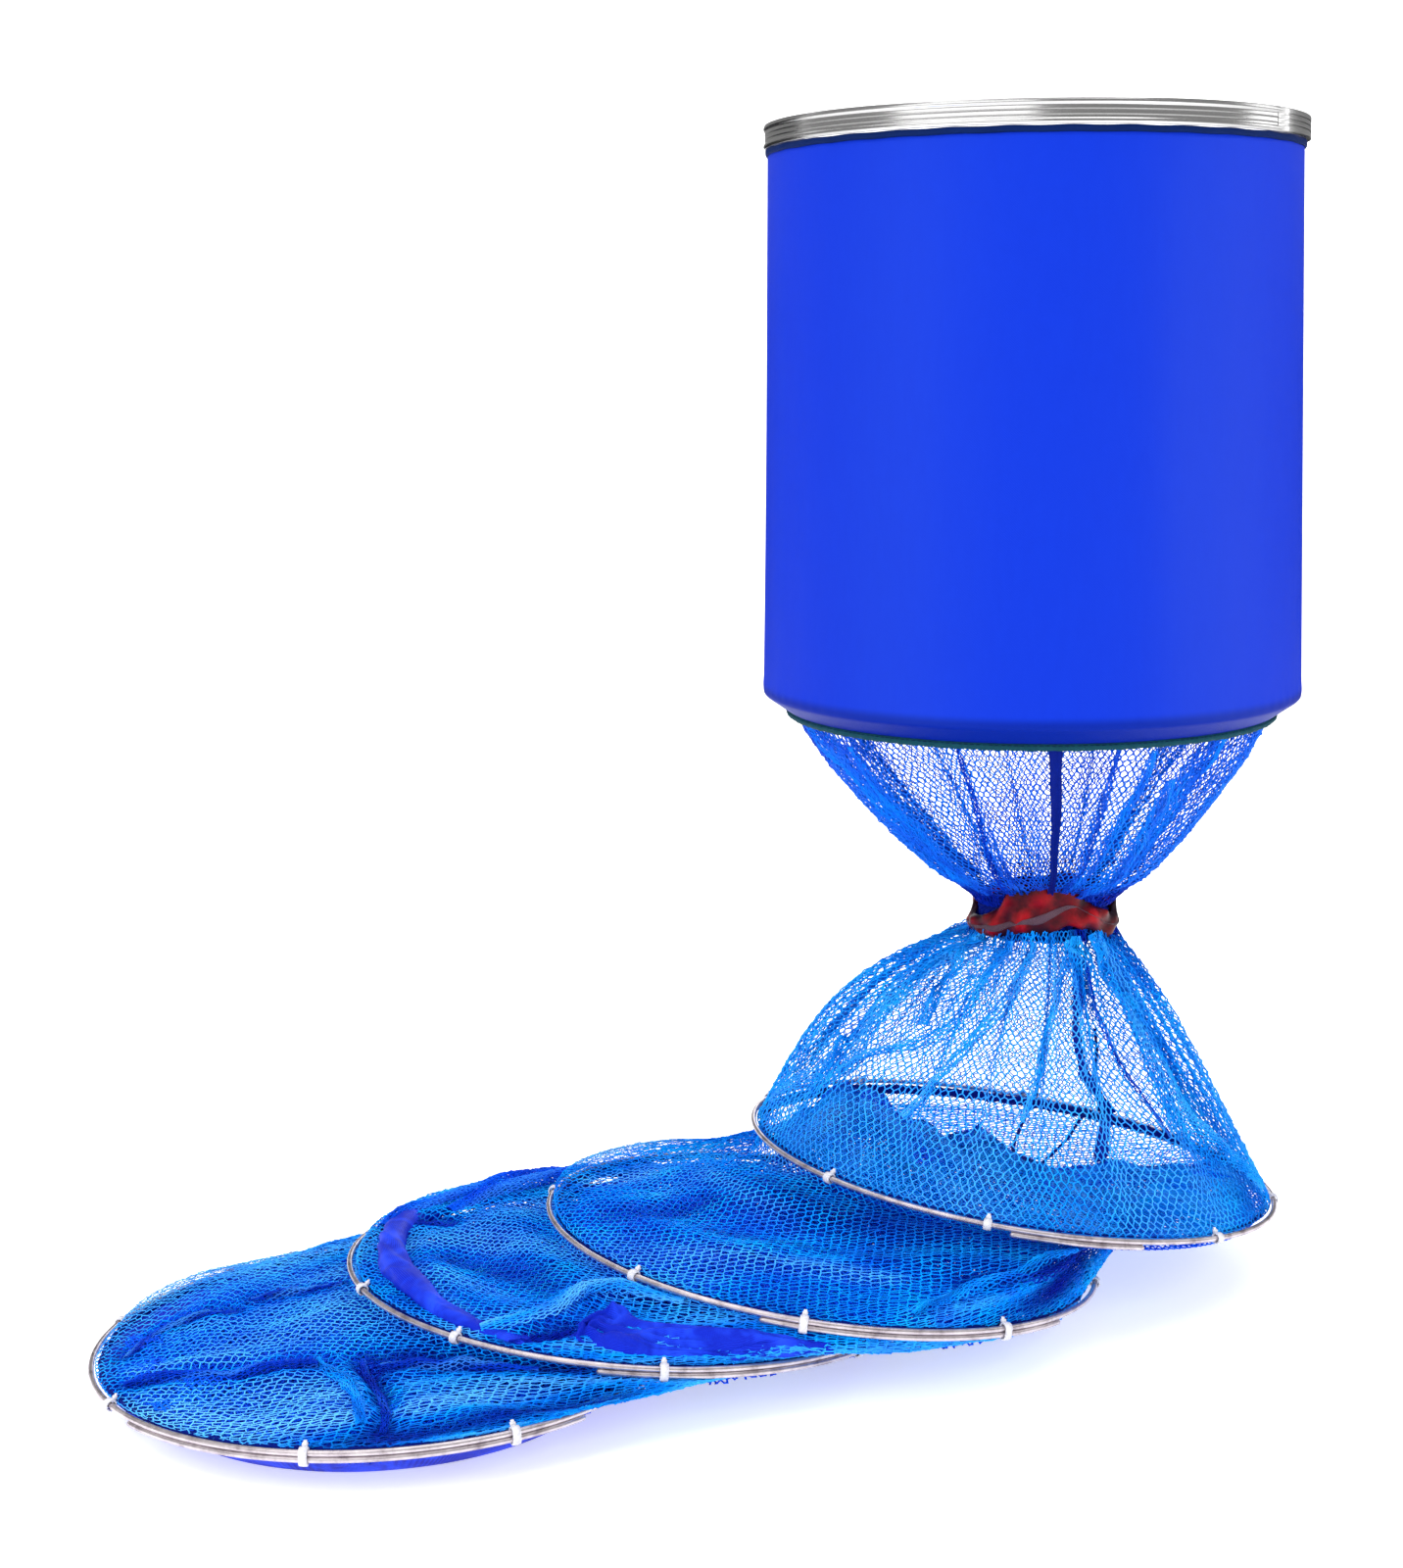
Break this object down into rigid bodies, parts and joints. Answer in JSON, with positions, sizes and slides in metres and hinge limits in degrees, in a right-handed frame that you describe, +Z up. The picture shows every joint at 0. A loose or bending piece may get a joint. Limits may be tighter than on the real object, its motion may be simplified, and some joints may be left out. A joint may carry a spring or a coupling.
{
  "type": "folding keep net",
  "caption": "Folding cylindrical fish keep net: steel rim, cloth bucket, netting tied at the waist and trailing over wire hoops to a cloth base.",
  "frame": {"origin": "centre of the rim's top edge, the plane the net hangs from", "axes": "+Z up out of the mouth; the lower end trails toward -X and -Y"},
  "size_m": [0.8657, 0.6061, 0.8555],
  "materials": {
    "rim_steel": "rolled strip, satin to bright",
    "wire_steel": "drawn wire, satin",
    "bucket_cloth": "coated cloth, fine weave, soft sheen",
    "violet_cloth": "thin coated cloth",
    "teal_binding": "folded edge binding",
    "navy_binding": "folded edge binding",
    "netting": "knotless mesh of fine twine",
    "red_strap": "satin ribbon, gathered",
    "lilac_stripe": "satin stripe",
    "white_clip": "moulded"
  },
  "bodies": {
    "rim_body": {"rim_band": "rim_steel", "rim_splice": "rim_steel", "top_binding": "navy_binding", "bucket_cloth": "bucket_cloth"},
    "hem_body": {"hem_hoop": "wire_steel", "hem_binding": "teal_binding", "upper_net": "netting"},
    "waist_body": {"neck_gather": "netting", "tie_strap": "red_strap", "tie_stripe": "lilac_stripe", "lower_net": "netting"},
    "hoop_1_body": {"hoop_1": "wire_steel", "hoop_1_lap": "wire_steel", "clip_1a": "white_clip", "clip_1b": "white_clip", "clip_1c": "white_clip", "clip_1d": "white_clip", "clip_1e": "white_clip", "clip_1f": "white_clip", "clip_1g": "white_clip", "clip_1h": "white_clip", "net_a": "netting"},
    "hoop_2_body": {"hoop_2": "wire_steel", "hoop_2_lap": "wire_steel", "clip_2a": "white_clip", "clip_2b": "white_clip", "clip_2c": "white_clip", "clip_2d": "white_clip", "clip_2e": "white_clip", "clip_2f": "white_clip", "clip_2g": "white_clip", "clip_2h": "white_clip", "net_b": "netting"},
    "hoop_3_body": {"hoop_3": "wire_steel", "hoop_3_lap": "wire_steel", "clip_3a": "white_clip", "clip_3b": "white_clip", "clip_3c": "white_clip", "clip_3d": "white_clip", "clip_3e": "white_clip", "clip_3f": "white_clip", "clip_3g": "white_clip", "clip_3h": "white_clip", "net_c": "netting", "wear_band": "violet_cloth"},
    "hoop_4_body": {"hoop_4": "wire_steel", "hoop_4_lap": "wire_steel", "clip_4a": "white_clip", "clip_4b": "white_clip", "clip_4c": "white_clip", "clip_4d": "white_clip", "clip_4e": "white_clip", "clip_4f": "white_clip", "clip_4g": "white_clip", "clip_4h": "white_clip", "base_cloth": "violet_cloth"}
  },
  "joints": [
    {"name": "bucket_fold", "type": "slide", "parent": "rim_body", "child": "hem_body", "axis": [0, 0, 1], "range_m": [0, 0.35], "deforming": ["bucket_cloth"]},
    {"name": "waist_lift", "type": "slide", "parent": "hem_body", "child": "waist_body", "axis": [0, 0, 1], "range_m": [0, 0.09], "deforming": ["upper_net"]},
    {"name": "hoop_1_lift", "type": "slide", "parent": "waist_body", "child": "hoop_1_body", "axis": [0, 0, 1], "range_m": [0, 0.13], "deforming": ["lower_net"]},
    {"name": "hoop_2_slide", "type": "slide", "parent": "hoop_1_body", "child": "hoop_2_body", "axis": [0.8489, 0.5285, 0], "range_m": [-0.08, 0.175], "deforming": ["net_a"]},
    {"name": "hoop_3_slide", "type": "slide", "parent": "hoop_2_body", "child": "hoop_3_body", "axis": [0.9817, 0.1907, 0], "range_m": [-0.08, 0.12], "deforming": ["net_b"]},
    {"name": "hoop_4_slide", "type": "slide", "parent": "hoop_3_body", "child": "hoop_4_body", "axis": [0.8999, 0.4361, 0], "range_m": [-0.08, 0.12], "deforming": ["net_c"]}
  ]
}
